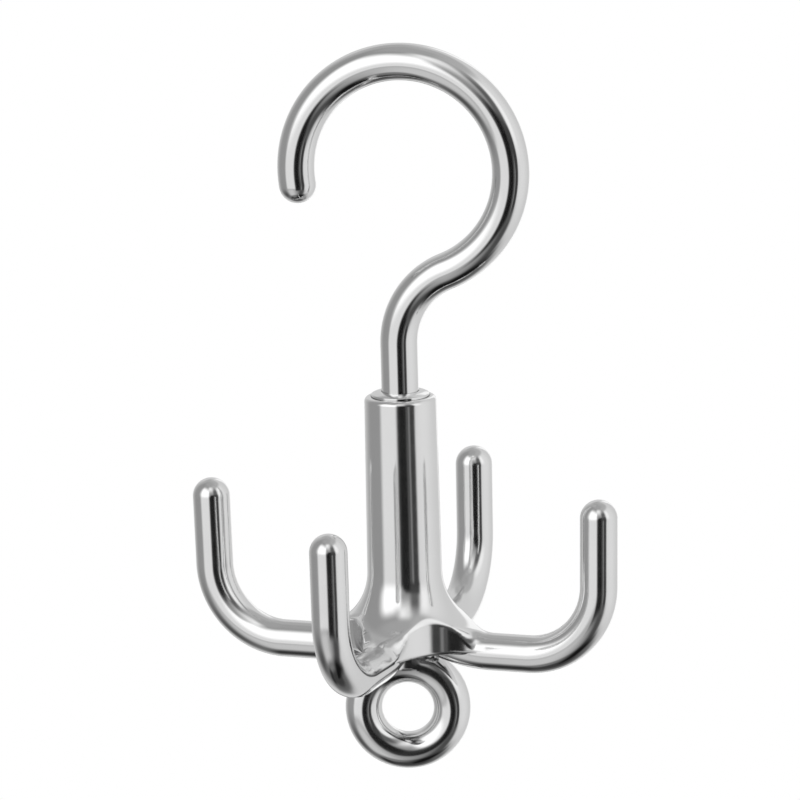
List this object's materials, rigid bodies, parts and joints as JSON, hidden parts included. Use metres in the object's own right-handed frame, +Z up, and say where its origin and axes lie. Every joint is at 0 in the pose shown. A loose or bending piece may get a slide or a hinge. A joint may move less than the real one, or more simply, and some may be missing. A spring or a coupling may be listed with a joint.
{
  "type": "rotating closet hook",
  "caption": "Chromed hanger for a closet rod: a bent bar hook whose barrel, with upturned claws and a ring eye below, turns freely under it.",
  "frame": {"origin": "on the swivel axis, at the inside of the bowl, where the closet rod bears", "axes": "+Z up along the swivel axis; +X, +Y, -X and -Y along the claws at rest; the hook's back is on the +X side, turned 8.15 degrees towards +Y"},
  "size_m": [0.0978, 0.0978, 0.16],
  "materials": {
    "bar_plate": "polished bright plate on steel bar",
    "casting_plate": "polished bright plate on zinc casting",
    "trim_plate": "polished bright plate on a turned steel ring",
    "eye_plate": "polished bright plate on steel",
    "plug_plate": "bright plate, faced",
    "bush_plastic": "natural acetal, as moulded",
    "zinc_steel": "zinc plated steel",
    "spring_steel": "phosphated spring steel"
  },
  "bodies": {
    "hook": {"top_hook": "bar_plate", "retaining_washer": "zinc_steel", "spring_washer": "spring_steel", "retaining_nut": "zinc_steel"},
    "claws": {"claw_body": "casting_plate", "mouth_collar": "trim_plate", "upper_bush": "bush_plastic", "lower_bush": "bush_plastic", "thrust_washer": "bush_plastic", "base_plug": "plug_plate", "eye_washer": "zinc_steel", "eye_nut": "zinc_steel", "ring_eye": "eye_plate"}
  },
  "joints": [
    {"name": "swivel", "type": "hinge", "parent": "hook", "child": "claws", "pos_m": [0, 0, -0.06893], "axis": [0, 0, 1], "continuous": true}
  ]
}
